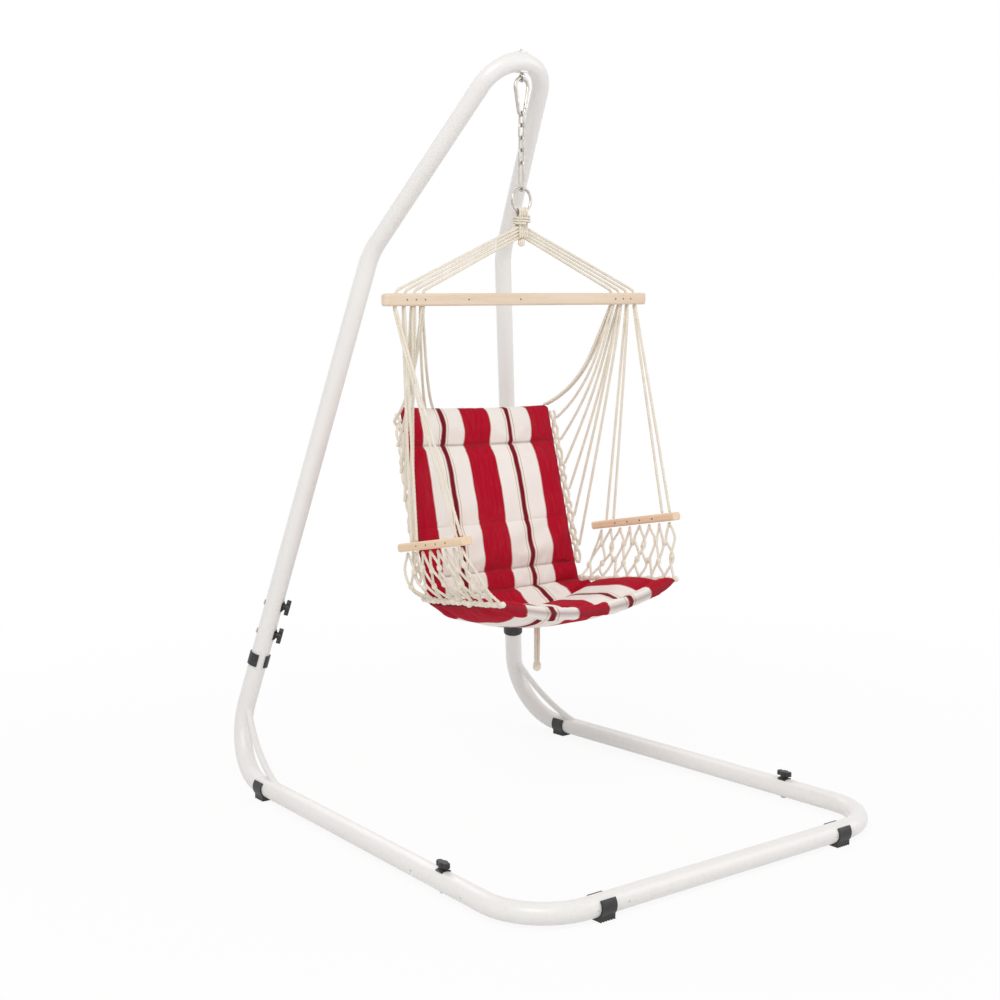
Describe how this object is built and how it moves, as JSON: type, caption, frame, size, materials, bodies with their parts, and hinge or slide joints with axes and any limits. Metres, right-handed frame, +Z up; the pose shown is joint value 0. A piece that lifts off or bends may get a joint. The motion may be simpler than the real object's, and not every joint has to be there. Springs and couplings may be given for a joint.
{
  "type": "hammock chair on stand",
  "caption": "Padded hammock chair with wooden spreader bar and netted armrests, hung by snap hook and chain from a free-standing bent-tube frame",
  "frame": {"origin": "centre of the footprint on the floor", "axes": "+Z up, the chair faces -Y, +X is to the right of someone looking along +Y at the chair's front"},
  "size_m": [1.2286, 1.4645, 2.0053],
  "materials": {
    "white_paint": "satin white powder coat",
    "black_plastic": "moulded black plastic",
    "zinc_steel": "bright zinc plate",
    "cotton_cord": "undyed twisted cotton cord",
    "beech": "pale sanded timber under clear oil",
    "striped_cloth": "striped woven cotton, quilted"
  },
  "bodies": {
    "stand": {"base_front_tube": "white_paint", "base_left_tube": "white_paint", "base_right_tube": "white_paint", "arm_left_tube": "white_paint", "arm_right_tube": "white_paint", "brace_left": "white_paint", "brace_right": "white_paint", "feet": "black_plastic", "collars": "black_plastic", "saddles": "black_plastic", "rail_bolts": "zinc_steel", "upright_bolts": "zinc_steel", "rivets": "zinc_steel", "eye_saddles": "black_plastic"},
    "eye": {"eye_bolt": "zinc_steel", "eye_nut": "zinc_steel"},
    "hook": {"hook_body": "zinc_steel", "hook_pin": "zinc_steel"},
    "gate": {"hook_gate": "zinc_steel"},
    "link_one": {"chain_link_1": "zinc_steel"},
    "link_two": {"chain_link_2": "zinc_steel"},
    "link_three": {"chain_link_3": "zinc_steel"},
    "link_four": {"chain_link_4": "zinc_steel"},
    "link_long": {"long_link": "zinc_steel"},
    "hang_ring": {"ring": "zinc_steel"},
    "chair": {"rope_eye": "cotton_cord", "rope_binding": "cotton_cord", "head_knot": "cotton_cord", "bridle_left": "cotton_cord", "bridle_right": "cotton_cord", "spreader_bar": "beech", "bar_nails": "zinc_steel", "arm_cords_left": "cotton_cord", "arm_cords_right": "cotton_cord", "back_cords_left": "cotton_cord", "back_cords_right": "cotton_cord", "armrest_left": "beech", "armrest_right": "beech", "arm_net_left": "cotton_cord", "arm_net_right": "cotton_cord", "edge_net_left": "cotton_cord", "edge_net_right": "cotton_cord", "hem_left": "cotton_cord", "hem_right": "cotton_cord", "seat_pad": "striped_cloth", "tail_cord": "cotton_cord"},
    "rail_knob_left_body": {"rail_knob_left": "black_plastic"},
    "rail_knob_right_body": {"rail_knob_right": "black_plastic"},
    "upright_knob_left_lower_body": {"upright_knob_left_lower": "black_plastic"},
    "upright_knob_left_upper_body": {"upright_knob_left_upper": "black_plastic"},
    "upright_knob_right_lower_body": {"upright_knob_right_lower": "black_plastic"},
    "upright_knob_right_upper_body": {"upright_knob_right_upper": "black_plastic"}
  },
  "joints": [
    {"name": "eye_swivel", "type": "hinge", "parent": "stand", "child": "eye", "pos_m": [0, 0.067, 1.93345], "axis": [0, 0, 1], "range_deg": [-15, 15]},
    {"name": "hook_swing", "type": "hinge", "parent": "eye", "child": "hook", "pos_m": [0, 0.067, 1.9325], "axis": [1, 0, 0], "range_deg": [-25, 8]},
    {"name": "link_one_sway", "type": "hinge", "parent": "hook", "child": "link_one", "pos_m": [0, 0.067, 1.8478], "axis": [0, 1, 0], "range_deg": [-4, 4]},
    {"name": "link_two_swing", "type": "hinge", "parent": "link_one", "child": "link_two", "pos_m": [0, 0.067, 1.8161], "axis": [1, 0, 0], "range_deg": [-4, 1]},
    {"name": "link_three_sway", "type": "hinge", "parent": "link_two", "child": "link_three", "pos_m": [0, 0.067, 1.7844], "axis": [0, 1, 0], "range_deg": [-2, 2]},
    {"name": "link_four_swing", "type": "hinge", "parent": "link_three", "child": "link_four", "pos_m": [0, 0.067, 1.7527], "axis": [1, 0, 0], "range_deg": [-4, 1]},
    {"name": "long_link_sway", "type": "hinge", "parent": "link_four", "child": "link_long", "pos_m": [0, 0.067, 1.721], "axis": [0, 1, 0], "range_deg": [-2, 2]},
    {"name": "ring_swing", "type": "hinge", "parent": "link_long", "child": "hang_ring", "pos_m": [0, 0.067, 1.6523], "axis": [1, 0, 0], "range_deg": [-10, 1]},
    {"name": "chair_sway", "type": "hinge", "parent": "hang_ring", "child": "chair", "pos_m": [0, 0.067, 1.6213], "axis": [0, 1, 0], "range_deg": [-4, 4]},
    {"name": "gate_open", "type": "hinge", "parent": "hook", "child": "gate", "pos_m": [0.01197, 0.067, 1.85954], "axis": [0, -1, 0], "range_deg": [0, 25], "stiffness_Nm_per_rad": 0.02, "springref_deg": -8.59},
    {"name": "rail_knob_left_turn", "type": "hinge", "parent": "stand", "child": "rail_knob_left_body", "pos_m": [-0.58032, -0.367, 0.0325], "axis": [0, 0, 1], "continuous": true},
    {"name": "upright_knob_left_lower_turn", "type": "hinge", "parent": "stand", "child": "upright_knob_left_lower_body", "pos_m": [-0.44407, 0.66053, 0.42963], "axis": [0.7624, -0.5836, -0.2795], "continuous": true},
    {"name": "upright_knob_left_upper_turn", "type": "hinge", "parent": "stand", "child": "upright_knob_left_upper_body", "pos_m": [-0.42746, 0.64319, 0.51117], "axis": [0.7624, -0.5836, -0.2795], "continuous": true},
    {"name": "rail_knob_right_turn", "type": "hinge", "parent": "stand", "child": "rail_knob_right_body", "pos_m": [0.58032, -0.367, 0.0325], "axis": [0, 0, 1], "continuous": true},
    {"name": "upright_knob_right_lower_turn", "type": "hinge", "parent": "stand", "child": "upright_knob_right_lower_body", "pos_m": [0.44407, 0.66053, 0.42963], "axis": [-0.7624, -0.5836, -0.2795], "continuous": true},
    {"name": "upright_knob_right_upper_turn", "type": "hinge", "parent": "stand", "child": "upright_knob_right_upper_body", "pos_m": [0.42746, 0.64319, 0.51117], "axis": [-0.7624, -0.5836, -0.2795], "continuous": true}
  ]
}
